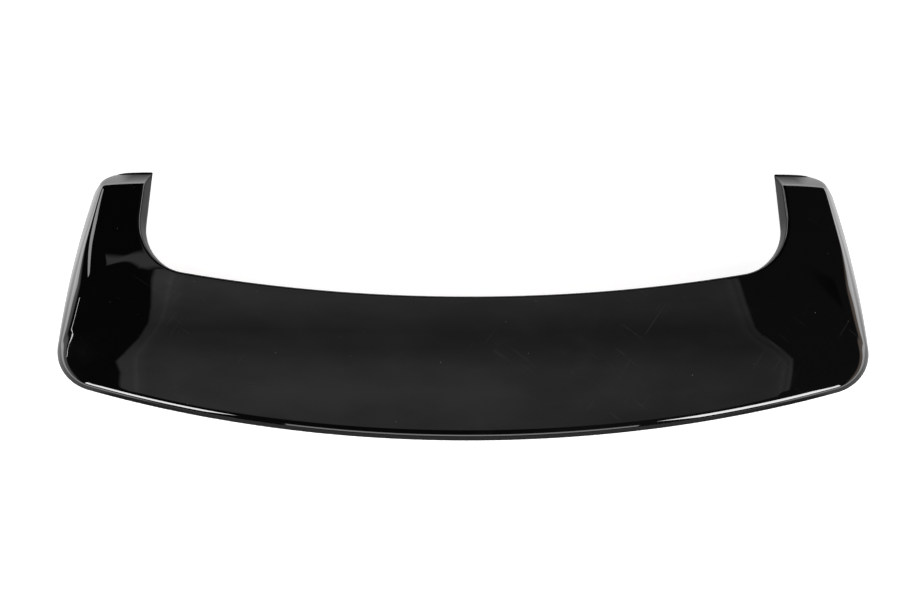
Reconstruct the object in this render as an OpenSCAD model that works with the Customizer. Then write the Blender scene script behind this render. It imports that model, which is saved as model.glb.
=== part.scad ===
// Roof spoiler for a hatchback: one gloss black moulding with a swept blade and
// two arms that reach forward along the sides of the roof.
// Lengths are millimetres. +X is to the right, +Y to the front of the car, +Z up.
// The origin is under the middle of the part, on the plane that it rests on.

/* [Overall] */
// Width over the lower edges of the two flanks
overall_width = 1088; // [960:2:1310]
// Length from the middle of the trailing edge to the tips of the arms
overall_depth = 428; // [400:2:516]

/* [Arms and cut-out] */
// Width of each arm at its lower edge
arm_width = 101; // [90:1:130]
// Reach of the arms in front of the blade
arm_reach = 214; // [180:1:240]
// Radius of the corner between an arm and the blade
inner_corner_radius = 86; // [60:1:104]
// Radius of the swept front edge of the blade, seen from above
front_edge_radius = 1750; // [1500:10:3000]

/* [Outline] */
// Radius of the trailing edge, seen from above
trailing_edge_radius = 1600; // [1350:10:3000]
// Radius of the rear corners
rear_corner_radius = 70; // [50:1:90]
// Radius of the long bow of each side
side_radius = 1500; // [1100:10:3000]
// Radius of the outer front corner of each arm
tip_corner_radius = 44; // [24:1:50]

/* [Heights] */
// Height of the front ridge of the blade at its middle
front_height = 52; // [44:0.5:64]
// Drop of the inner ridge from the middle of the blade to an arm
front_crown = 12; // [4:0.5:16]
// Height of the flanks where they are tallest
flank_height = 41; // [34:0.5:50]
// Length over which a flank grows out of the trailing lip
flank_run = 125; // [90:1:160]
// Height of the lip along the trailing edge
lip_height = 10; // [8:0.5:14]
// Drop of an arm from its highest part to its tip
tip_fall = 7; // [0:0.5:10]
// Rise of the lower edge in the middle, where it follows the roof
roof_rise = 12; // [4:0.5:16]
// Outer strip at each side where the lower edge stays flat
rest_strip = 48; // [30:1:60]
// Extra bulge of the blade half-way between its front ridge and its trailing edge
blade_bow = 0.5; // [0:0.5:4]

/* [Slopes and edges] */
// Mean lean of the flanks and of the trailing lip, from upright
flare_angle = 29; // [15:1:35]
// Difference in lean between the top and the foot of a flank, before that is added
flare_ease = 6; // [0:1:10]
// Added mean lean of a flank where it nears the rear corner, all of it at the top
flare_gain = 15; // [0:1:16]
// Distance over which that lean is added, half of it in front of the origin
flare_run = 150; // [90:5:170]
// Lean of the arms' inner walls, from upright
arm_draft = 5; // [2:0.5:10]
// Lean of the blade's front wall, from upright
front_rake = 26; // [15:1:30]
// Slope of the arms' front faces, from level
tip_slope = 42; // [36:1:55]
// Length of the rounding along each ridge
ridge_round = 5; // [3:0.5:7]
// Length of the soft shoulder beside the ridge of a flank
shoulder_round = 19; // [8:1:24]
// Distance over which the shoulder grows, behind the front face of an arm
shoulder_run = 190; // [120:5:220]

/* [Walls and ribs] */
// Thickness of the skin
wall = 3; // [2.4:0.1:4]
// Thickness of the ribs under the skin
rib_wall = 2.4; // [1.8:0.1:3]
// Distance of the outer rail from the outer lower edge
outer_rail_inset = 42; // [36:1:46]
// Distance of the inner rail from the inner lower edge
inner_rail_inset = 26; // [18:1:28]
// Gap between the ribs and the surface that the part is glued to
rib_recess = 2.5; // [1:0.5:4]
// Spacing of the cross ribs along the blade
rib_pitch = 118; // [100:1:130]

/* [Screw bosses] */
// Distance between the left and right bosses
boss_spacing_x = 590; // [500:2:660]
// Distance between the front and rear bosses
boss_spacing_y = 70; // [60:1:80]
// Distance of the front bosses behind the front edge at its middle
boss_setback = 38; // [34:1:50]
// Diameter of a boss
boss_d = 15; // [12:0.5:18]
// Diameter of the screw hole
screw_hole_d = 5.2; // [4:0.1:6.5]
// Depth of the screw hole
screw_hole_depth = 14; // [8:0.5:15]
// Height of the plane that the bosses end on
boss_plane = 9; // [6:0.5:12]

/* [Hidden] */

$fn = 64;

tip_y = overall_depth / 2;
tail_y = -overall_depth / 2;
front_y = tip_y - arm_reach;
gap_half = overall_width / 2 - arm_width;
blade_length = overall_depth - arm_reach;

// Arcs of the outline. Each one is known by its centre and its radius, and a point
// on it by the direction that the outline faces there: 0 degrees faces the rear,
// 90 degrees the side and 180 degrees the front.
tail_centre = [0, tail_y + trailing_edge_radius];
corner_x = overall_width / 2 - rear_corner_radius;
tail_end = asin(corner_x / (trailing_edge_radius - rear_corner_radius));
corner_centre = [
    corner_x,
    tail_centre.y - (trailing_edge_radius - rear_corner_radius) * cos(tail_end)
];
side_centre = [overall_width / 2 - side_radius, corner_centre.y];
side_rise = tip_y - tip_corner_radius - side_centre.y;
side_end = 90 + asin(side_rise / (side_radius - tip_corner_radius));
tip_centre = [
    side_centre.x + (side_radius - tip_corner_radius) * sin(side_end),
    tip_y - tip_corner_radius
];

// Arcs of the cut-out between the arms
front_centre = [0, front_y + front_edge_radius];
inner_corner_x = gap_half - inner_corner_radius;
front_end = asin(inner_corner_x / (front_edge_radius - inner_corner_radius));
inner_corner_centre = [
    inner_corner_x,
    front_centre.y - (front_edge_radius - inner_corner_radius) * cos(front_end)
];

// The flank starts where the rear corner leaves the trailing edge
flank_start = corner_centre.y - rear_corner_radius * cos(tail_end);
flank_full = flank_start + flank_run;

// Height of the blunt front edge of each tip, outside and inside, and the least
// depth of a rail before it runs out
tip_edge = 2.5;
tip_edge_inside = 0.6;
least_rail = 1.5;

boss_places = [
    for (x = [-1, 1])
        for (y = [0, boss_spacing_y])
            [x * boss_spacing_x / 2, front_y - boss_setback - y]
];

// Numbers of steps along the outline and of points across a section
tail_steps = 14;
corner_steps = 8;
side_steps = 12;
tip_steps = 6;
shoulder_steps = 6;
round_steps = 4;
top_points = 6;
across = 2 + shoulder_steps + 1 + top_points + round_steps + 1 + 1;
hollow_points = (across - 13) / 2;

function smooth(v) = let (c = min(1, max(0, v))) c * c * (3 - 2 * c);
function soft_min(a, b, k) = min(a, b) - pow(max(k - abs(a - b), 0), 2) / (4 * k);
function unit(v) = v / norm(v);
function facing(t) = [sin(t), -cos(t)];
function sided(x, p) = [x < 0 ? -p.x : p.x, p.y];

// Point of the outline that faces the direction t, from -180 to 180 degrees
function outline(t) =
    let (a = abs(t))
    let (arc = a < tail_end ? [tail_centre, trailing_edge_radius]
        : a < 90 ? [corner_centre, rear_corner_radius]
        : a < side_end ? [side_centre, side_radius]
        : [tip_centre, tip_corner_radius])
    sided(t, arc[0] + arc[1] * facing(a));

// The arc of the cut-out's edge that is nearest to a point: its centre and radius,
// or nothing beside the straight inner side of an arm
function edge_arc(p) =
    p.y >= inner_corner_centre.y ? undef
    : atan2(abs(p.x), front_centre.y - p.y) > front_end
        ? [sided(p.x, inner_corner_centre), inner_corner_radius]
        : [front_centre, front_edge_radius];

// Direction from the nearest point of the cut-out's edge to a point of the part
function edge_facing(p) =
    let (arc = edge_arc(p))
    is_undef(arc) ? [sign(p.x), 0] : unit(p - arc[0]);
function edge_point(p) =
    let (arc = edge_arc(p))
    is_undef(arc) ? [sign(p.x) * gap_half, p.y]
        : arc[0] + arc[1] * unit(p - arc[0]);

// Lean of the inner wall: small along the arms and large along the blade
function inner_lean(u) =
    let (turn = (90 - atan2(abs(u.x), -u.y)) / (90 - front_end))
    arm_draft + (front_rake - arm_draft) * smooth(turn);

// Heights along the part: its lower edge, its outer ridge and its inner ridge
function ahead(p) = max(0, (p.y - flank_full) / (tip_y - flank_full));
function rim_z(p) =
    roof_rise * max(0, 1 - pow(p.x / (overall_width / 2 - rest_strip), 2));
function outer_z(p) =
    rim_z(p) + lip_height
    + (flank_height - lip_height) * smooth((p.y - flank_start) / flank_run)
    - tip_fall * pow(ahead(p), 2);
function inner_z(p) =
    front_height - front_crown * pow(p.x / gap_half, 2) - tip_fall * pow(ahead(p), 2);

// Share of its full height that a flank of that height has over the trailing lip
function grown(high) = min(1, max(0, (high - lip_height) / (flank_height - lip_height)));

// Share of the full shoulder at a point of the outline
function shoulder(p, high) =
    grown(high) * smooth((tip_y - flank_height / tan(tip_slope) - p.y) / shoulder_run);

// Lean of the outer surface at a point of the outline, as a mean over its height
function outer_lean(p, high) =
    flare_angle + flare_gain * smooth(2.5 * grown(high)) * smooth((flare_run / 2 - p.y) / flare_run);

// Everything that one cross section needs, at the depth d under the outer surface:
// [origin, direction, span, [outer base, ridge, lean], [inner base, ridge, lean], bow,
// [rounding of the outer ridge on the flank, on the top], angle of lean at the foot]
function section(t, d) =
    let (out = outline(t))
    let (high = outer_z(out) - rim_z(out))
    let (tilt = outer_lean(out, high))
    let (b = out - sided(t, facing(abs(t))) * d / cos(tilt))
    let (u0 = edge_facing(b))
    let (lean = inner_lean(u0))
    let (a = edge_point(b) + u0 * d / cos(lean))
    let (span = norm(b - a))
    let (edge = d == 0 ? tip_edge : tip_edge_inside)
    let (cap = max(edge, (tip_y - b.y) * tan(tip_slope) - d / cos(tip_slope)))
    let (full_o = outer_z(out) - rim_z(b) - d)
    let (full_i = inner_z(edge_point(b)) - rim_z(a) - d)
    let (ho = soft_min(full_o, cap, ridge_round))
    let (hi = soft_min(full_i, cap, ridge_round))
    let (far = ridge_round + (shoulder_round - ridge_round) * shoulder(out, high) - 0.6 * d)
    let (foot_lean = flare_angle - flare_ease / 2)
    let (top_lean = 2 * tilt - foot_lean)
    let (low = min(far, 0.45 * ho / cos(top_lean)))
    [
        a, (b - a) / span, span,
        [rim_z(b), rim_z(b) + ho, ho * (tan(foot_lean) + tan(top_lean)) / 2],
        [rim_z(a), rim_z(a) + hi, hi * tan(lean)],
        blade_bow * span / blade_length * min(1, ho / full_o),
        [low, min(far, 1.25 * low)],
        foot_lean
    ];

// Height of the surface at the distance r from the inner edge of a section. It starts
// level at the inner ridge and falls ever faster towards the outer one.
function top_z(s, r) =
    let (w = (r - s[4][2]) / (s[2] - s[3][2] - s[4][2]))
    s[4][1] + (s[3][1] - s[4][1]) * w * w + 4 * s[5] * w * (1 - w);
function base_z(s, r) = s[4][0] + (s[3][0] - s[4][0]) * r / s[2];
function place(s, q) = [s[0].x + s[1].x * q.x, s[0].y + s[1].y * q.x, q.y];

// Point of the curve that leaves a towards b and arrives at c from b
function curve(a, b, c, v) = a * pow(1 - v, 2) + b * 2 * v * (1 - v) + c * v * v;
function rounded(a, b, c, n) = [for (k = [0:n]) curve(a, b, c, k / n)];

// The outer ridge of a section: its foot, the bend of the flank, the start of the
// rounding, the ridge, and the end of the rounding
function outer_ridge(s) =
    let (high = s[3][1] - s[3][0])
    let (foot = [s[2], s[3][0]])
    let (bend = foot + high / 2 * [-tan(s[7]), 1])
    let (ridge = [s[2] - s[3][2], s[3][1]])
    let (r = ridge.x - s[6][1])
    [foot, bend, ridge + s[6][0] * unit(bend - ridge), ridge, [r, top_z(s, r)]];

// Height of the rounded surface at the distance r from the inner edge
function round_z(s, r) =
    let (e = outer_ridge(s))
    let (a = e[2].x - 2 * e[3].x + e[4].x)
    let (b = e[2].x - e[3].x)
    let (c = e[2].x - r)
    r <= e[4].x ? top_z(s, r) : curve(e[2], e[3], e[4], c / (b + sqrt(b * b - a * c))).y;

// Outer surface of a section, from the outer lower edge to the inner one
function skin_profile(s) =
    let (e = outer_ridge(s))
    let (ridge_i = [s[4][2], s[4][1]])
    let (foot_i = [0, s[4][0]])
    let (cut = min(ridge_round, 0.45 * norm(foot_i - ridge_i)))
    let (r_i = ridge_i.x + cut)
    concat(
        [e[0], curve(e[0], e[1], e[2], 0.5)],
        rounded(e[2], e[3], e[4], shoulder_steps),
        [
            for (k = [1:top_points])
                let (r = e[4].x + (r_i - e[4].x) * k / (top_points + 1))
                [r, top_z(s, r)]
        ],
        rounded(
            [r_i, top_z(s, r_i)], ridge_i, ridge_i + cut * unit(foot_i - ridge_i), round_steps
        ),
        [foot_i]
    );

// Rail under the skin, from the distance r_1 to the distance r_2. Near the tips,
// where there is no height left for it, its points lie flush with the skin.
function rail(s, r_1, r_2) =
    let (z_1 = round_z(s, r_1))
    let (z_2 = round_z(s, r_2))
    let (z = base_z(s, r_1) + rib_recess)
    min(z_1, z_2) - z > least_rail ? [[r_1, z_1], [r_1, z], [r_2, z], [r_2, z_2]]
        : [for (k = [0:3]) let (r = r_1 + (r_2 - r_1) * k / 3) [r, round_z(s, r)]];

// Inner surface of a section, with its two rails
function hollow_profile(s) =
    let (e = outer_ridge(s))
    let (r_o = s[2] - min(outer_rail_inset, 0.4 * s[2]) + wall)
    let (r_i = min(inner_rail_inset, 0.25 * s[2]) - wall)
    let (from = r_o - rib_wall)
    let (to = r_i + rib_wall)
    concat(
        [e[0], curve(e[0], e[1], e[2], 0.5), e[2]],
        [
            for (k = [1:hollow_points])
                let (r = e[2].x + (r_o - e[2].x) * k / (hollow_points + 1))
                [r, round_z(s, r)]
        ],
        rail(s, r_o, from),
        [
            for (k = [1:hollow_points])
                let (r = from + (to - from) * k / (hollow_points + 1))
                [r, round_z(s, r)]
        ],
        rail(s, to, r_i),
        [[s[4][2], s[4][1]], [0, s[4][0]]]
    );

// Lower edge across the tip of an arm, where both surfaces end
function flattened(s, profile) = [for (q = profile) [q.x, base_z(s, q.x)]];

// Directions of the sections, from the left tip round the blade to the right tip.
// The first and the last one come twice: once flat on the lower edge, and once raised.
function steps(from, to, n) = [for (k = [1:n]) from + (to - from) * k / n];
half_turns = concat(
    steps(0, tail_end, tail_steps),
    steps(tail_end, 90, corner_steps),
    steps(90, side_end, side_steps),
    steps(side_end, 180, tip_steps)
);
last = len(half_turns) - 1;
turns = concat([-180], [for (k = [last:-1:0]) -half_turns[k]], [0], half_turns, [180]);
rows = len(turns);

function sheet(d) = [
    for (i = [0:rows - 1])
        let (s = section(turns[i], d))
        let (profile = d == 0 ? skin_profile(s) : hollow_profile(s))
        for (q = i % (rows - 1) == 0 ? flattened(s, profile) : profile) place(s, q)
];

// Faces between neighbouring points of two rows of a closed surface
function strip(a, b) = [
    for (k = [0:len(a) - 2]) [a[k], b[k], b[k + 1], a[k + 1]]
];
function row(i, shift) = [for (j = [0:across - 1]) shift + i * across + j];
function column(j, shift) = [for (i = [0:rows - 1]) shift + i * across + j];

module shell() {
    lower = rows * across;
    polyhedron(
        points = concat(sheet(0), sheet(wall)),
        faces = concat(
            [for (i = [0:rows - 2]) each strip(row(i + 1, 0), row(i, 0))],
            [for (i = [0:rows - 2]) each strip(row(i, lower), row(i + 1, lower))],
            strip(column(0, lower), column(0, 0)),
            strip(column(across - 1, 0), column(across - 1, lower)),
            strip(row(0, 0), row(0, lower)),
            strip(row(rows - 1, lower), row(rows - 1, 0))
        ),
        convexity = 12
    );
}

// Cross rib in the section that faces t. It ends in the middle of the skin.
module cross_rib(t) {
    s = section(t, wall / 2);
    r_o = s[2] - rib_recess * tan(s[7]);
    r_i = rib_recess * s[4][2] / (s[4][1] - s[4][0]);
    profile = skin_profile(s);
    outline_points = concat(
        [[r_o, s[3][0] + rib_recess]],
        [for (k = [2:across - 2]) profile[k]],
        [[r_i, s[4][0] + rib_recess]]
    );
    translate([s[0].x, s[0].y, 0])
        rotate([90, 0, atan2(s[1].y, s[1].x)])
            linear_extrude(rib_wall, center = true)
                polygon(outline_points);
}

// Boss under the blade, cut off along the middle of the skin above it
module boss(p) {
    u = unit(p - front_centre);
    offset_c = front_centre.y - tail_centre.y;
    reach = -offset_c * u.y
        + sqrt(pow(trailing_edge_radius, 2) - pow(offset_c * u.x, 2));
    s = section(asin(reach * u.x / trailing_edge_radius), wall / 2);
    r = norm(p - s[0]);
    top = top_z(s, r);
    pitch = atan2(top_z(s, r + 1) - top_z(s, r - 1), 2);
    translate([p.x, p.y, 0])
        difference() {
            translate([0, 0, boss_plane])
                cylinder(h = top + boss_d - boss_plane, d = boss_d);
            translate([0, 0, top])
                rotate([0, 0, atan2(s[1].y, s[1].x)])
                    rotate([0, -pitch, 0])
                        translate([-boss_d, -boss_d, 0])
                            cube([2 * boss_d, 2 * boss_d, 3 * boss_d]);
        }
}

module spoiler_moulding() {
    color("black")
        difference() {
            union() {
                shell();
                for (k = [-3:3])
                    cross_rib(asin(k * rib_pitch / trailing_edge_radius));
                for (p = boss_places) boss(p);
            }
            for (p = boss_places)
                translate([p.x, p.y, boss_plane - 1])
                    cylinder(h = screw_hole_depth + 1, d = screw_hole_d);
        }
}

spoiler_moulding();
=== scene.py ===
import math

import bpy
from mathutils import Matrix, Vector


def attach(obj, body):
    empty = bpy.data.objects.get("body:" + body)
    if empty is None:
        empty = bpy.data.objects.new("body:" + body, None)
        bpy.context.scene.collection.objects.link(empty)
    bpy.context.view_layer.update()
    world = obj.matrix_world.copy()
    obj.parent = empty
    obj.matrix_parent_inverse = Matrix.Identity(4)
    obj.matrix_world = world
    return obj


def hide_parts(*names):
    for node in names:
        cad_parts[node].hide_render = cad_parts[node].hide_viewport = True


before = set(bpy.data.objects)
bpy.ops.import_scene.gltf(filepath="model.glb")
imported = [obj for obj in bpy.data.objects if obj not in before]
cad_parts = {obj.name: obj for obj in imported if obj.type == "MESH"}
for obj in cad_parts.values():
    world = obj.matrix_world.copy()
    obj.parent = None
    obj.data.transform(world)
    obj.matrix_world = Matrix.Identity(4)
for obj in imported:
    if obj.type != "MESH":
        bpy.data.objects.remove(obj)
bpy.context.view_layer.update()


# The outer skin of the spoiler: one moulding of glossy black plastic, with a swept
# blade and two arms. It is drawn as a net of fine cross sections round the outline,
# from the lower edge over the two ridges to the lower edge of the cut-out.
width, depth = 1088.0, 428.0
arm_width, arm_reach = 101.0, 214.0
inner_radius, front_radius = 86.0, 1750.0
tail_radius, corner_radius = 1600.0, 70.0
side_radius, tip_radius = 1500.0, 44.0
front_height, front_crown = 52.0, 12.0
flank_height, flank_run = 41.0, 125.0
lip_height, tip_fall = 10.0, 7.0
roof_rise, rest_strip, blade_bow = 12.0, 48.0, 0.5
flare_angle, flare_ease, flare_gain, flare_run = 29.0, 6.0, 15.0, 150.0
arm_draft, front_rake, tip_slope = 5.0, 26.0, 42.0
ridge_round, shoulder_round, shoulder_run = 5.0, 19.0, 190.0
tip_edge, tip_edge_inside = 2.5, 0.6
wall = 3.0
tip_flatter, tip_flatter_outside = 1.0, 2.5  # degrees off the slope of the arms' front faces


def sin(a):
    return math.sin(math.radians(a))


def cos(a):
    return math.cos(math.radians(a))


def tan(a):
    return math.tan(math.radians(a))


def asin(v):
    return math.degrees(math.asin(v))


def facing(t):
    return Vector((sin(t), -cos(t)))


def sided(x, p):
    return Vector((-p.x if x < 0 else p.x, p.y))


def smooth(v):
    v = min(1.0, max(0.0, v))
    return v * v * (3 - 2 * v)


def soft_min(a, b, k):
    return min(a, b) - max(k - abs(a - b), 0) ** 2 / (4 * k)


tip_y, tail_y = depth / 2, -depth / 2
front_y = tip_y - arm_reach
gap_half = width / 2 - arm_width
tail_centre = Vector((0, tail_y + tail_radius))
corner_x = width / 2 - corner_radius
tail_end = asin(corner_x / (tail_radius - corner_radius))
corner_centre = Vector((corner_x, tail_centre.y - (tail_radius - corner_radius) * cos(tail_end)))
side_centre = Vector((width / 2 - side_radius, corner_centre.y))
side_end = 90 + asin((tip_y - tip_radius - side_centre.y) / (side_radius - tip_radius))
tip_centre = Vector((side_centre.x + (side_radius - tip_radius) * sin(side_end), tip_y - tip_radius))
front_centre = Vector((0, front_y + front_radius))
inner_x = gap_half - inner_radius
front_end = asin(inner_x / (front_radius - inner_radius))
inner_centre = Vector((inner_x, front_centre.y - (front_radius - inner_radius) * cos(front_end)))
flank_start = corner_centre.y - corner_radius * cos(tail_end)
flank_full = flank_start + flank_run


def outline(t):
    a = abs(t)
    if a < tail_end:
        centre, radius = tail_centre, tail_radius
    elif a < 90:
        centre, radius = corner_centre, corner_radius
    elif a < side_end:
        centre, radius = side_centre, side_radius
    else:
        centre, radius = tip_centre, tip_radius
    return sided(t, centre + radius * facing(a))


def cut_out(p):
    """Nearest point of the cut-out's edge, and the direction from it to p."""
    if p.y >= inner_centre.y:
        side = math.copysign(1, p.x)
        return Vector((side * gap_half, p.y)), Vector((side, 0))
    if math.degrees(math.atan2(abs(p.x), front_centre.y - p.y)) > front_end:
        centre, radius = sided(p.x, inner_centre), inner_radius
    else:
        centre, radius = front_centre, front_radius
    u = (p - centre).normalized()
    return centre + radius * u, u


def inner_lean(u):
    turn = (90 - math.degrees(math.atan2(abs(u.x), -u.y))) / (90 - front_end)
    return arm_draft + (front_rake - arm_draft) * smooth(turn)


def ahead(p):
    return max(0.0, (p.y - flank_full) / (tip_y - flank_full))


def rim_z(p):
    return roof_rise * max(0.0, 1 - (p.x / (width / 2 - rest_strip)) ** 2)


def outer_z(p):
    rise = (flank_height - lip_height) * smooth((p.y - flank_start) / flank_run)
    return rim_z(p) + lip_height + rise - tip_fall * ahead(p) ** 2


def inner_z(p):
    return front_height - front_crown * (p.x / gap_half) ** 2 - tip_fall * ahead(p) ** 2


def grown(high):
    return min(1.0, max(0.0, (high - lip_height) / (flank_height - lip_height)))


def shoulder(p, high):
    return grown(high) * smooth((tip_y - flank_height / tan(tip_slope) - p.y) / shoulder_run)


def outer_lean(p, high):
    return flare_angle + flare_gain * smooth(2.5 * grown(high)) * smooth((flare_run / 2 - p.y) / flare_run)


class Section:
    """One cross section, square to the cut-out's edge, at the depth d in the skin."""

    def __init__(self, t, d):
        out = outline(t)
        high = outer_z(out) - rim_z(out)
        tilt = outer_lean(out, high)
        b = out - sided(t, facing(abs(t))) * (d / cos(tilt))
        edge, u = cut_out(b)
        lean = inner_lean(u)
        self.origin = edge + u * (d / cos(lean))
        self.span = (b - self.origin).length
        self.dir = (b - self.origin) / self.span
        least = tip_edge if d == 0 else tip_edge_inside
        slope = tip_slope - tip_flatter - tip_flatter_outside * smooth((abs(b.x) - gap_half) / arm_width)
        cap = max(least, (tip_y - b.y) * tan(slope) - d / cos(slope))
        self.foot_o, self.foot_i = rim_z(b), rim_z(self.origin)
        full = outer_z(out) - self.foot_o - d
        ho = soft_min(full, cap, ridge_round)
        hi = soft_min(inner_z(edge) - self.foot_i - d, cap, ridge_round)
        self.foot_lean = flare_angle - flare_ease / 2
        top_lean = 2 * tilt - self.foot_lean
        self.top_o = self.foot_o + ho
        self.lean_o = ho * (tan(self.foot_lean) + tan(top_lean)) / 2
        self.top_i, self.lean_i = self.foot_i + hi, hi * tan(lean)
        self.bow = blade_bow * self.span / (depth - arm_reach) * min(1.0, ho / full)
        far = ridge_round + (shoulder_round - ridge_round) * shoulder(out, high) - 0.6 * d
        self.low = min(far, 0.45 * ho / cos(top_lean))
        self.far = min(far, 1.25 * self.low)

    def top(self, r):
        w = (r - self.lean_i) / (self.span - self.lean_o - self.lean_i)
        return self.top_i + (self.top_o - self.top_i) * w * w + 4 * self.bow * w * (1 - w)

    def base(self, r):
        return self.foot_i + (self.foot_o - self.foot_i) * r / self.span

    def place(self, q):
        p = self.origin + self.dir * q[0]
        return Vector((p.x, p.y, q[1])) * 0.001


def curve(a, b, c, v):
    return a * (1 - v) ** 2 + b * (2 * v * (1 - v)) + c * v * v


def rounded(a, b, c, n, first=0):
    return [curve(a, b, c, k / n) for k in range(first, n + 1)]


def outer_ridge(s):
    """Foot, bend, start of the rounding, ridge, and end of the rounding."""
    foot = Vector((s.span, s.foot_o))
    bend = foot + Vector((-tan(s.foot_lean), 1)) * ((s.top_o - s.foot_o) / 2)
    ridge = Vector((s.span - s.lean_o, s.top_o))
    r = ridge.x - s.far
    return foot, bend, ridge + (bend - ridge).normalized() * s.low, ridge, Vector((r, s.top(r)))


edge_round = 0.7


def skin_profile(s):
    foot_o, bend, low_o, ridge_o, high_o = outer_ridge(s)
    foot_i, ridge_i = Vector((0, s.foot_i)), Vector((s.lean_i, s.top_i))
    cut_i = min(ridge_round, 0.45 * (foot_i - ridge_i).length)
    low_i = ridge_i + (foot_i - ridge_i).normalized() * cut_i
    r_i = ridge_i.x + cut_i
    high_i = Vector((r_i, s.top(r_i)))
    edge = min(edge_round, 0.3 * (low_i - foot_i).length, 0.2 * (low_o - foot_o).length)
    flank = [foot_o - Vector((edge, 0)), foot_o - Vector((0.3 * edge, -0.3 * edge))]
    flank += [curve(foot_o, bend, low_o, v) for v in (0.04, 0.12, 0.25, 0.4, 0.55, 0.7, 0.85, 1)]
    up_i = foot_i + (low_i - foot_i).normalized() * edge
    n = 34
    return (
        flank
        + rounded(low_o, ridge_o, high_o, 14, first=1)
        + [Vector((r, s.top(r))) for r in (high_o.x + (r_i - high_o.x) * k / n for k in range(1, n))]
        + rounded(high_i, ridge_i, low_i, 8)
        + [low_i.lerp(up_i, k / 4) for k in range(1, 5)]
        + [foot_i + Vector((0.3 * edge, 0.3 * edge)), foot_i + Vector((edge, 0))]
    )


def round_z(s, r):
    start, ridge, end = outer_ridge(s)[2:]
    if r <= end.x:
        return s.top(r)
    a, b, c = start.x - 2 * ridge.x + end.x, start.x - ridge.x, start.x - r
    return curve(start, ridge, end, c / (b + math.sqrt(max(0, b * b - a * c)))).y


def across(s, a, b, n):
    return [Vector((r, round_z(s, r))) for r in (a + (b - a) * k / n for k in range(1, n))]


outer_rail, inner_rail = 42.0, 26.0
rail_thick, rail_lift = 2.4, 2.5


def rail(s, a, b):
    """Rail that hangs from the skin, or nothing where the arm is too low for it."""
    z = s.base(a) + rail_lift
    low = min(round_z(s, a), round_z(s, b)) - z < 1.5
    return [
        Vector((r, round_z(s, r) if low or k in (0, 5) else z))
        for k, r in enumerate((a, a, a + (b - a) / 3, b - (b - a) / 3, b, b))
    ]


def hollow_profile(s):
    foot, bend, start = outer_ridge(s)[:3]
    r_o = s.span - min(outer_rail, 0.4 * s.span) + wall
    r_i = min(inner_rail, 0.25 * s.span) - wall
    return (
        rounded(foot, bend, start, 5)
        + across(s, start.x, r_o, 9)
        + rail(s, r_o, r_o - rail_thick)
        + across(s, r_o - rail_thick, r_i + rail_thick, 16)
        + rail(s, r_i + rail_thick, r_i)
        + [Vector((s.lean_i, s.top_i)), Vector((0, s.foot_i))]
    )


def along(a, b, n):
    return [a + (b - a) * k / n for k in range(1, n + 1)]


fine_length = 62  # the net is closer over this much of each arm's end
near_tip = 90 + asin((tip_y - fine_length - side_centre.y) / side_radius)
half = (
    along(0, tail_end, 84)
    + along(tail_end, 90, 30)
    + along(90, near_tip, 44)
    + along(near_tip, side_end, 22)
    + along(side_end, 180, 22)
)
turns = [-180.0] + [-t for t in reversed(half)] + [0.0] + half + [180.0]

# Each row of the net runs over the skin and back along its inside, and closes there.
rows = []
for i, t in enumerate(turns):
    outside, inside = Section(t, 0), Section(t, wall)
    skin, hollow = skin_profile(outside), hollow_profile(inside)
    if i in (0, len(turns) - 1):
        skin = [Vector((q.x, outside.base(q.x))) for q in skin]
        hollow = [Vector((q.x, inside.base(q.x))) for q in hollow]
    row = [outside.place(q) for q in skin] + [inside.place(q) for q in reversed(hollow)]
    rows.append(row + row[:1])
painted = len(skin)

bpy.ops.object.select_all(action="DESELECT")
bpy.ops.mesh.primitive_grid_add(x_subdivisions=len(rows[0]) - 1, y_subdivisions=len(rows) - 1, size=1)
moulding = bpy.context.object
moulding.name = "moulding"
mesh = moulding.data
mesh.vertices.foreach_set("co", [c for row in rows for p in row for c in p])
for face in mesh.polygons:
    face.material_index = 0 if min(v % len(rows[0]) for v in face.vertices) < painted else 1

bpy.ops.object.mode_set(mode="EDIT")
bpy.ops.mesh.select_all(action="SELECT")
bpy.ops.mesh.remove_doubles(threshold=0.000002)
bpy.ops.mesh.fill_holes(sides=0)
bpy.ops.mesh.select_all(action="SELECT")
bpy.ops.mesh.normals_make_consistent(inside=False)
bpy.ops.object.mode_set(mode="OBJECT")
crease = math.radians(32)
bpy.ops.object.shade_smooth_by_angle(angle=crease)

# The paint: deep black under a hard clear coat, with a faint orange peel, dust specks,
# hair-fine scratches in a few wiped patches and some greasy marks.
gloss = bpy.data.materials.new("gloss_black")
gloss.use_nodes = True
nodes, links = gloss.node_tree.nodes, gloss.node_tree.links
shader = nodes["Principled BSDF"]
shader.inputs["IOR"].default_value = 1.5
place = nodes.new("ShaderNodeTexCoord")


def grain(scale, detail=2.0, stretch=None, turn=0.0):
    """Noise in the object's own metres, stretched along a turned direction if asked."""
    noise = nodes.new("ShaderNodeTexNoise")
    noise.inputs["Scale"].default_value = scale
    noise.inputs["Detail"].default_value = detail
    source = place.outputs["Object"]
    if stretch:
        mapping = nodes.new("ShaderNodeMapping")
        mapping.vector_type = "TEXTURE"
        mapping.inputs["Rotation"].default_value = (0, 0, math.radians(turn))
        mapping.inputs["Scale"].default_value = [1 / v for v in stretch]
        links.new(source, mapping.inputs["Vector"])
        source = mapping.outputs["Vector"]
    links.new(source, noise.inputs["Vector"])
    return noise.outputs["Fac"]


def level(source, low, high, to_low=0.0, to_high=1.0):
    """Turn the range low to high of a value into to_low to to_high, with soft ends."""
    node = nodes.new("ShaderNodeMapRange")
    node.interpolation_type = "SMOOTHSTEP"
    for name, value in (("From Min", low), ("From Max", high), ("To Min", to_low), ("To Max", to_high)):
        node.inputs[name].default_value = value
    links.new(source, node.inputs["Value"])
    return node.outputs["Result"]


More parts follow.
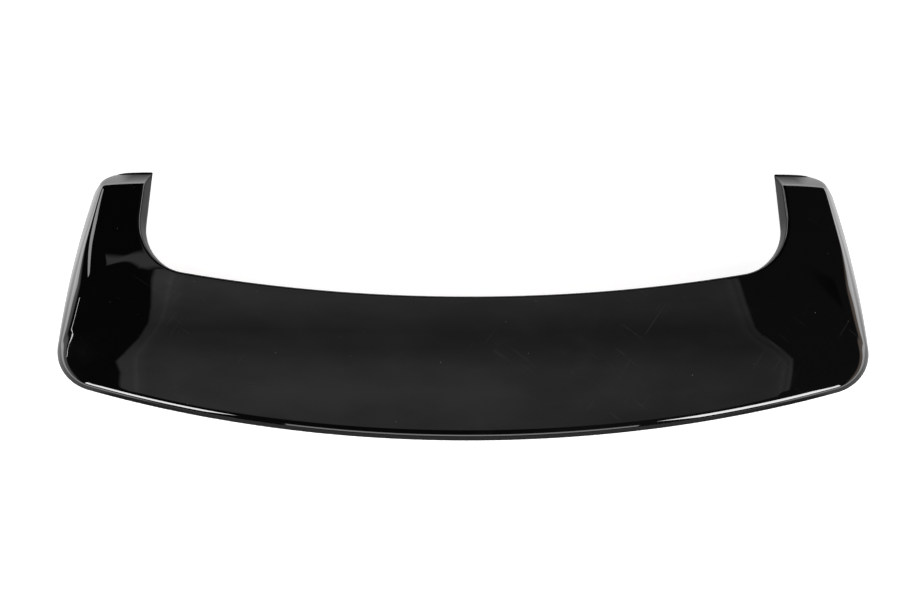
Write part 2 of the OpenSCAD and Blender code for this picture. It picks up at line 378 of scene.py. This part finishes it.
def combine(kind, a, b):
    node = nodes.new("ShaderNodeMath")
    node.operation = kind
    for socket, value in zip(node.inputs, (a, b)):
        if isinstance(value, (int, float)):
            socket.default_value = value
        else:
            links.new(value, socket)
    return node.outputs[0]


# Dust: one grain in some of the cells of a 14 mm pattern.
cells = nodes.new("ShaderNodeTexVoronoi")
cells.inputs["Scale"].default_value = 70
links.new(place.outputs["Object"], cells.inputs["Vector"])
chance = nodes.new("ShaderNodeSeparateXYZ")
links.new(cells.outputs["Color"], chance.inputs[0])
spot = level(cells.outputs["Distance"], 0.055, 0.02)
dust = combine("MULTIPLY", spot, level(chance.outputs["X"], 0.55, 0.95))

# Scratches: hair lines that cross at two angles, only where a cloth has rubbed.
rubbed = level(grain(6.5), 0.57, 0.70)
hair_a = level(grain(1.0, 1.0, (14, 420, 60), -38), 0.68, 0.75)
hair_b = level(grain(1.0, 1.0, (11, 380, 60), 57), 0.69, 0.76)
scratch = combine("MULTIPLY", combine("MAXIMUM", hair_a, hair_b), rubbed)

# Greasy marks: soft patches that dull the gloss a little.
blotch = level(grain(9.0, 4.0), 0.56, 0.74)
smear = combine("MULTIPLY", blotch, level(grain(46.0, 3.0), 0.35, 0.7, 0.4, 1.0))
veil = combine("ADD", combine("MULTIPLY", dust, 0.10), combine("MULTIPLY", scratch, 0.010))
veil = combine("ADD", veil, combine("MULTIPLY", smear, 0.0022))
tint = nodes.new("ShaderNodeMix")
tint.data_type = "RGBA"
tint.inputs["A"].default_value = (0.0014, 0.0014, 0.0016, 1)
tint.inputs["B"].default_value = (1.0, 0.98, 0.94, 1)
links.new(veil, tint.inputs["Factor"])
links.new(tint.outputs["Result"], shader.inputs["Base Color"])
dull = combine("ADD", combine("MULTIPLY", dust, 0.5), combine("MULTIPLY", smear, 0.06))
links.new(combine("ADD", dull, 0.03), shader.inputs["Roughness"])

peel = nodes.new("ShaderNodeBump")
peel.inputs["Strength"].default_value = 0.35
peel.inputs["Distance"].default_value = 0.000008
links.new(grain(190.0, 1.5), peel.inputs["Height"])
links.new(peel.outputs["Normal"], shader.inputs["Normal"])
mesh.materials.append(gloss)

# The bare plastic of the inside: dark grey with the fine grain of the mould.
bare = bpy.data.materials.new("bare_plastic")
bare.use_nodes = True
nodes, links = bare.node_tree.nodes, bare.node_tree.links
shader = nodes["Principled BSDF"]
shader.inputs["IOR"].default_value = 1.5
place = nodes.new("ShaderNodeTexCoord")
streaks = combine("MULTIPLY", grain(12.0, 3.0, (1, 4, 4)), 0.7)
flow = combine("ADD", streaks, combine("MULTIPLY", grain(340.0), 0.3))
tint = nodes.new("ShaderNodeMix")
tint.data_type = "RGBA"
tint.inputs["A"].default_value = (0.009, 0.009, 0.0095, 1)
tint.inputs["B"].default_value = (0.020, 0.020, 0.0205, 1)
links.new(level(flow, 0.35, 0.65), tint.inputs["Factor"])
links.new(tint.outputs["Result"], shader.inputs["Base Color"])
links.new(level(flow, 0.35, 0.65, 0.50, 0.38), shader.inputs["Roughness"])
pores = nodes.new("ShaderNodeBump")
pores.inputs["Strength"].default_value = 0.5
pores.inputs["Distance"].default_value = 0.00006
links.new(grain(900.0, 3.0), pores.inputs["Height"])
links.new(pores.outputs["Normal"], shader.inputs["Normal"])
mesh.materials.append(bare)

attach(moulding, "root")
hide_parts("spoiler_moulding")


# The ribs and screw bosses under the skin, moulded in one with it. The ribs end in the
# middle of the skin, and each boss has a blind hole for a screw.
rib_step, rib_thick = 118, 0.0024
under = []
for k in range(-3, 4):
    s = Section(asin(k * rib_step / tail_radius), wall / 2)
    corners = [Vector((s.span - rail_lift * tan(s.foot_lean), s.foot_o + rail_lift))]
    corners += [q for q in skin_profile(s) if q.y > s.base(q.x) + 3]
    corners += [Vector((rail_lift * s.lean_i / (s.top_i - s.foot_i), s.foot_i + rail_lift))]
    bpy.ops.object.select_all(action="DESELECT")
    bpy.ops.mesh.primitive_circle_add(vertices=len(corners), radius=1, fill_type="NGON")
    rib = bpy.context.object
    rib.data.vertices.foreach_set("co", [c for q in corners for c in s.place(q)])
    thick = rib.modifiers.new("thick", "SOLIDIFY")
    thick.thickness, thick.offset = rib_thick, 0
    bpy.ops.object.modifier_apply(modifier="thick")
    under.append(rib)

boss_x, boss_rows = 295.0, (-38.0, -108.0)
boss_radius, boss_wall, boss_foot, boss_length = 0.0075, 0.0045, 0.009, 0.02
hole_bevel, hole_depth = 0.0004, 0.0136
for x in (-boss_x, boss_x):
    for y in boss_rows:
        spot = Vector((x, y))
        u = (spot - front_centre).normalized()
        gap = front_centre.y - tail_centre.y
        reach = -gap * u.y + math.sqrt(tail_radius ** 2 - (gap * u.x) ** 2)
        s = Section(asin(reach * u.x / tail_radius), wall / 2)
        r = (spot - s.origin).length
        slope = (s.top(r + 1) - s.top(r - 1)) / 2
        bpy.ops.object.select_all(action="DESELECT")
        bpy.ops.mesh.primitive_cylinder_add(
            vertices=40, radius=boss_radius, depth=boss_length,
            location=(x / 1000, y / 1000, boss_foot + boss_length / 2))
        bpy.ops.object.transform_apply(location=True, rotation=True, scale=True)
        boss = bpy.context.object
        bpy.ops.object.mode_set(mode="EDIT")
        bpy.ops.mesh.select_mode(type="FACE")
        bpy.ops.mesh.select_all(action="DESELECT")
        bpy.ops.object.mode_set(mode="OBJECT")
        for face in boss.data.polygons:
            face.select = face.normal.z < -0.9
        bpy.ops.object.mode_set(mode="EDIT")
        bpy.ops.mesh.inset(thickness=boss_wall)
        bpy.ops.mesh.inset(thickness=hole_bevel, depth=-hole_bevel)
        bpy.ops.mesh.extrude_region_move(TRANSFORM_OT_translate={"value": (0, 0, hole_depth)})
        bpy.ops.object.mode_set(mode="OBJECT")
        for v in boss.data.vertices:
            if v.co.z > boss_foot + 0.95 * boss_length:
                across_boss = (Vector(v.co.xy) * 1000 - spot).dot(s.dir)
                v.co.z = (s.top(r) + slope * across_boss) / 1000
        under.append(boss)

for piece in under:
    piece.data.materials.append(bare)
bpy.ops.object.select_all(action="DESELECT")
for piece in under:
    piece.select_set(True)
bpy.context.view_layer.objects.active = under[0]
bpy.ops.object.join()
under = bpy.context.object
under.name = "ribs_and_bosses"
bpy.ops.object.shade_smooth_by_angle(angle=crease)
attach(under, "root")
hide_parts("spoiler_moulding")


# The floor: one wide sheet of white paper under the part, which keeps its shadow.
bpy.ops.object.select_all(action="DESELECT")
bpy.ops.mesh.primitive_circle_add(vertices=96, radius=3.2, fill_type="NGON", location=(0, 0, 0))
floor = bpy.context.object
floor.name = "floor"
paper = bpy.data.materials.new("white_paper")
paper.use_nodes = True
nodes, links = paper.node_tree.nodes, paper.node_tree.links
shader = nodes["Principled BSDF"]
shader.inputs["Base Color"].default_value = (0.88, 0.88, 0.88, 1)
shader.inputs["Roughness"].default_value = 0.9
shader.inputs["Specular IOR Level"].default_value = 0.0
glow = nodes.new("ShaderNodeEmission")
add = nodes.new("ShaderNodeAddShader")
path = nodes.new("ShaderNodeLightPath")
lift = nodes.new("ShaderNodeMath")
lift.operation = "MULTIPLY"
lift.inputs[1].default_value = 0.64
links.new(path.outputs["Is Camera Ray"], lift.inputs[0])
links.new(lift.outputs[0], glow.inputs["Strength"])
links.new(shader.outputs[0], add.inputs[0])
links.new(glow.outputs[0], add.inputs[1])
links.new(add.outputs[0], nodes["Material Output"].inputs["Surface"])
floor.data.materials.append(paper)

# A painted reflection of the floor, seen only in reflections: dark in the cut-out, as painted
# shade of the floor beside the arms and blade, dim behind the part, and bright to its sides and
# in front of the arms, as a painted reflection of brightly lit paper.
bpy.ops.object.select_all(action="DESELECT")
bpy.ops.mesh.primitive_circle_add(vertices=96, radius=3.1, fill_type="NGON", location=(0, 0, 0.0006))
bpy.ops.object.transform_apply(location=True, rotation=True, scale=True)
mirrored = bpy.context.object
mirrored.name = "mirrored_floor"
bright = bpy.data.materials.new("painted_floor_reflection")
bright.use_nodes = True
nodes, links = bright.node_tree.nodes, bright.node_tree.links
place = nodes.new("ShaderNodeTexCoord")
split = nodes.new("ShaderNodeSeparateXYZ")
links.new(place.outputs["Object"], split.inputs[0])
out = combine("ABSOLUTE", split.outputs["X"], 0)
beside = combine("ADD", level(out, 0.47, 0.50, 0.25, 1.0), level(out, 0.54, 0.68, 0, 3.2))
behind = level(split.outputs["Y"], -0.12, -0.24, 0, 0.5)
before = level(split.outputs["Y"], 0.20, 0.30, 0, 1.7)
glow = nodes.new("ShaderNodeEmission")
total = combine("MAXIMUM", combine("MAXIMUM", beside, before), behind)
links.new(total, glow.inputs["Strength"])
links.new(glow.outputs[0], nodes["Material Output"].inputs["Surface"])
mirrored.data.materials.append(bright)
mirrored.visible_camera = mirrored.visible_diffuse = mirrored.visible_shadow = False


# The room: white behind the part for the camera. In reflections it is dark, with two
# dim side walls, the right one a little warmer.
world = bpy.data.worlds.new("room")
bpy.context.scene.world = world
world.use_nodes = True
nodes, links = world.node_tree.nodes, world.node_tree.links
place = nodes.new("ShaderNodeTexCoord")
split = nodes.new("ShaderNodeSeparateXYZ")
links.new(place.outputs["Generated"], split.inputs[0])
height = split.outputs["Z"]
aside = combine("ABSOLUTE", split.outputs["X"], 0)
skirting = combine("MULTIPLY", level(height, 0.19, 0.13), level(aside, 0.52, 0.62, 0, 4.5))
wall_band = combine("MULTIPLY", level(height, 0.14, 0.2), level(height, 0.66, 0.56))
walls = combine("MULTIPLY", wall_band, level(aside, 0.76, 0.86, 0, 1.25))
haze = level(split.outputs["X"], 0.05, 0.2, 0.006, 0.05)
warm = nodes.new("ShaderNodeMix")
warm.data_type = "RGBA"
warm.inputs["A"].default_value = (1, 1, 1, 1)
warm.inputs["B"].default_value = (1.0, 0.80, 0.68, 1)
shade = combine("ADD", combine("ADD", walls, skirting), haze)
path = nodes.new("ShaderNodeLightPath")
pick = nodes.new("ShaderNodeMix")
links.new(path.outputs["Is Camera Ray"], pick.inputs["Factor"])
links.new(shade, pick.inputs["A"])
pick.inputs["B"].default_value = 1.0
links.new(pick.outputs["Result"], nodes["Background"].inputs["Strength"])
not_seen = combine("SUBTRACT", 1, path.outputs["Is Camera Ray"])
right_wall = combine("MULTIPLY", wall_band, level(split.outputs["X"], 0, 0.3))
links.new(combine("MULTIPLY", right_wall, not_seen), warm.inputs["Factor"])
links.new(warm.outputs["Result"], nodes["Background"].inputs["Color"])


# The lamps: two tall soft boxes that draw the white lines on the trailing edge, a wide fill
# behind, a window beside the left arm, and a broad one overhead that isn't mirrored.
def softbox(name, azimuth, height, distance, size, strength):
    """A studio lamp that faces the part, at a compass direction from its front."""
    spot = Vector((sin(azimuth) * cos(height), cos(azimuth) * cos(height), sin(height))) * distance
    bpy.ops.object.light_add(type="AREA", location=spot)
    lamp = bpy.context.object
    lamp.name = name
    lamp.data.shape = "RECTANGLE"
    lamp.data.size, lamp.data.size_y = size
    lamp.data.energy = strength * size[0] * size[1] * math.pi
    lamp.rotation_euler = (-spot).to_track_quat("-Z", "Y").to_euler()
    lamp.visible_camera = False
    return lamp


softbox("key_left", -138, 25, 3.2, (0.95, 0.85), 20)
softbox("key_right", 140, 25, 3.2, (1.1, 1.15), 20)
softbox("back_fill", 180, 15, 3.3, (2.6, 0.8), 4)
softbox("side_window", -42, 37, 3.0, (0.75, 1.0), 5.5)
overhead = softbox("overhead", 15, 66, 3.0, (1.8, 1.4), 2.6)
overhead.visible_glossy = False

# The grey cloth that the blade reflects, stretched level just above the part. Only
# reflections see it. Its sides follow the lines where the reflection ends.
cloth_height = 0.22
left_edge = [
    (-0.454, 0.222), (-0.462, 0.185), (-0.472, 0.120), (-0.473, 0.041), (-0.478, 0.000), (-0.497, -0.038),
    (-0.528, -0.076), (-0.545, -0.095), (-0.541, -0.121), (-0.548, -0.150), (-0.552, -0.213),
]
left_line = [
    (-0.434, 0.205), (-0.437, 0.170), (-0.443, 0.112), (-0.450, 0.044), (-0.458, 0.006), (-0.470, -0.022),
    (-0.494, -0.060), (-0.509, -0.082), (-0.515, -0.125), (-0.519, -0.150), (-0.528, -0.200),
]
right_edge = [
    (0.415, 0.160), (0.424, 0.095), (0.430, 0.058), (0.438, 0.022), (0.446, -0.008), (0.457, -0.026),
    (0.470, -0.041), (0.493, -0.063), (0.515, -0.087), (0.518, -0.123), (0.519, -0.158),
]
cloth_edge = [
    (-0.434, 0.232), (0.405, 0.232), *[(x - 0.010, y - 0.004) for x, y in right_edge],
    (0.502, -0.182), (0.422, -0.262), (-0.430, -0.262), *reversed(left_line),
]
bpy.ops.object.select_all(action="DESELECT")
bpy.ops.mesh.primitive_circle_add(vertices=len(cloth_edge), radius=1, fill_type="NGON")
cloth = bpy.context.object
cloth.name = "grey_cloth"
cloth.data.vertices.foreach_set("co", [c for x, y in cloth_edge for c in (x, y, cloth_height)])
cloth.visible_camera = cloth.visible_diffuse = cloth.visible_shadow = False


def ribbon(name, edges, height):
    """A flat strip between matching points of two or more lines, which only paint mirrors."""
    bpy.ops.object.select_all(action="DESELECT")
    lanes, steps = len(edges) - 1, len(edges[0]) - 1
    bpy.ops.mesh.primitive_grid_add(x_subdivisions=lanes, y_subdivisions=steps, size=1)
    strip = bpy.context.object
    strip.name = name
    corners = [(x, y, height) for row in zip(*edges) for x, y in row]
    strip.data.vertices.foreach_set("co", [c for corner in corners for c in corner])
    strip.visible_camera = strip.visible_diffuse = strip.visible_shadow = False
    return strip


# The cloth's hems: on the left a soft fold with a paler stitched line along its inside and
# a flap at its upper end, on the right a narrow rolled one. Each fades out at its edge.
hem_height, flap_height = cloth_height - 0.0005, cloth_height - 0.001
left_hem = ribbon("left_hem", [
    [(x - 0.006, y - 0.002) for x, y in left_edge],
    left_line,
    [(x + 0.020, y) for x, y in left_line],
], hem_height)
right_hem = ribbon("right_hem", [
    [(x + 0.005, y + 0.002) for x, y in right_edge],
    [(x - 0.022, y - 0.008) for x, y in right_edge],
], hem_height)
flap = ribbon("flap", [
    [(-0.530, 0.182), (-0.503, 0.184), (-0.484, 0.198), (-0.462, 0.232), (-0.440, 0.250)],
    [(-0.526, 0.150), (-0.500, 0.143), (-0.478, 0.141), (-0.464, 0.150), (-0.448, 0.165)],
], flap_height)

# The brightness of each sheet: a slow change along the cloth and clouds over it, and on the
# ribbons the given steps across them, from their outer side to their inner one.
for sheet, steps in (
    (cloth, ()),
    (left_hem, ((0.10, 1.16), (0.38, 1.20), (0.50, 1.50), (0.62, 1.20), (1.0, 1.0))),
    (right_hem, ((0.20, 1.30), (0.42, 0.95), (0.66, 1.25), (1.0, 1.0))),
    (flap, ((0.25, 1.2), (0.75, 1.2), (1.0, 0.0))),
):
    grey = bpy.data.materials.new(sheet.name)
    grey.use_nodes = True
    nodes, links = grey.node_tree.nodes, grey.node_tree.links
    place = nodes.new("ShaderNodeTexCoord")
    split = nodes.new("ShaderNodeSeparateXYZ")
    links.new(place.outputs["Object"], split.inputs[0])
    along_cloth = nodes.new("ShaderNodeMapRange")
    along_cloth.inputs["From Min"].default_value, along_cloth.inputs["From Max"].default_value = -0.25, 0.15
    links.new(split.outputs["Y"], along_cloth.inputs["Value"])
    tone = nodes.new("ShaderNodeValToRGB")
    tone.color_ramp.elements[0].color = (0.46, 0.46, 0.46, 1)
    tone.color_ramp.elements[1].color = (0.50, 0.50, 0.50, 1)
    for at, v in ((0.24, 0.56), (0.38, 0.50), (0.50, 0.32), (0.60, 0.28), (0.74, 0.44), (0.88, 0.50)):
        tone.color_ramp.elements.new(at).color = (v, v, v, 1)
    links.new(along_cloth.outputs["Result"], tone.inputs["Fac"])
    glow = nodes.new("ShaderNodeEmission")
    links.new(tone.outputs["Color"], glow.inputs["Color"])
    clouds = level(grain(7.0, 4.0, (1, 1.6, 1)), 0.3, 0.7, 0.86, 1.12)
    light = combine("MULTIPLY", clouds, level(split.outputs["X"], -0.1, 0.45, 1.0, 0.72))
    if steps:
        over = nodes.new("ShaderNodeSeparateXYZ")
        links.new(place.outputs["UV"], over.inputs[0])
        fade = nodes.new("ShaderNodeValToRGB")
        fade.color_ramp.elements[0].color = (0, 0, 0, 1)
        fade.color_ramp.elements[1].color = (steps[-1][1] / 2,) * 3 + (1,)
        for at, v in steps[:-1]:
            fade.color_ramp.elements.new(at).color = (v / 2, v / 2, v / 2, 1)
        links.new(over.outputs["X"], fade.inputs["Fac"])
        light = combine("MULTIPLY", combine("MULTIPLY", fade.outputs["Color"], 2), light)
    links.new(light, glow.inputs["Strength"])
    links.new(glow.outputs[0], nodes["Material Output"].inputs["Surface"])
    sheet.data.materials.append(grey)

# A narrow light strip beside the left ridge, which draws a thin white line along it.
line = [
    (-0.664, 0.033), (-0.662, 0.013), (-0.669, -0.015), (-0.684, -0.036), (-0.702, -0.046),
    (-0.708, -0.068), (-0.757, -0.080),
]
wide = (0.006, 0.006, 0.007, 0.010, 0.015, 0.020, 0.030)
sides = [[(x + side * w, y) for (x, y), w in zip(line, wide)] for side in (-1, 1)]
strip = ribbon("light_strip", sides, cloth_height)
lit = bpy.data.materials.new("light_strip")
lit.use_nodes = True
glow = lit.node_tree.nodes.new("ShaderNodeEmission")
glow.inputs["Strength"].default_value = 15
lit.node_tree.links.new(glow.outputs[0], lit.node_tree.nodes["Material Output"].inputs["Surface"])
strip.data.materials.append(lit)


# The camera stands where the photographer did, above and behind the trailing edge.
bpy.ops.object.camera_add(location=(-0.0042, -1.195, 1.9815))
camera = bpy.context.object
camera.name = "camera"
camera.data.sensor_width = 36
camera.data.lens = 66.45
turn = Matrix.Rotation(math.radians(31), 4, "X") @ Matrix.Rotation(math.radians(0.19), 4, "Z")
camera.rotation_euler = turn.to_euler()
bpy.context.scene.camera = camera

bpy.context.scene.view_settings.view_transform = "Standard"
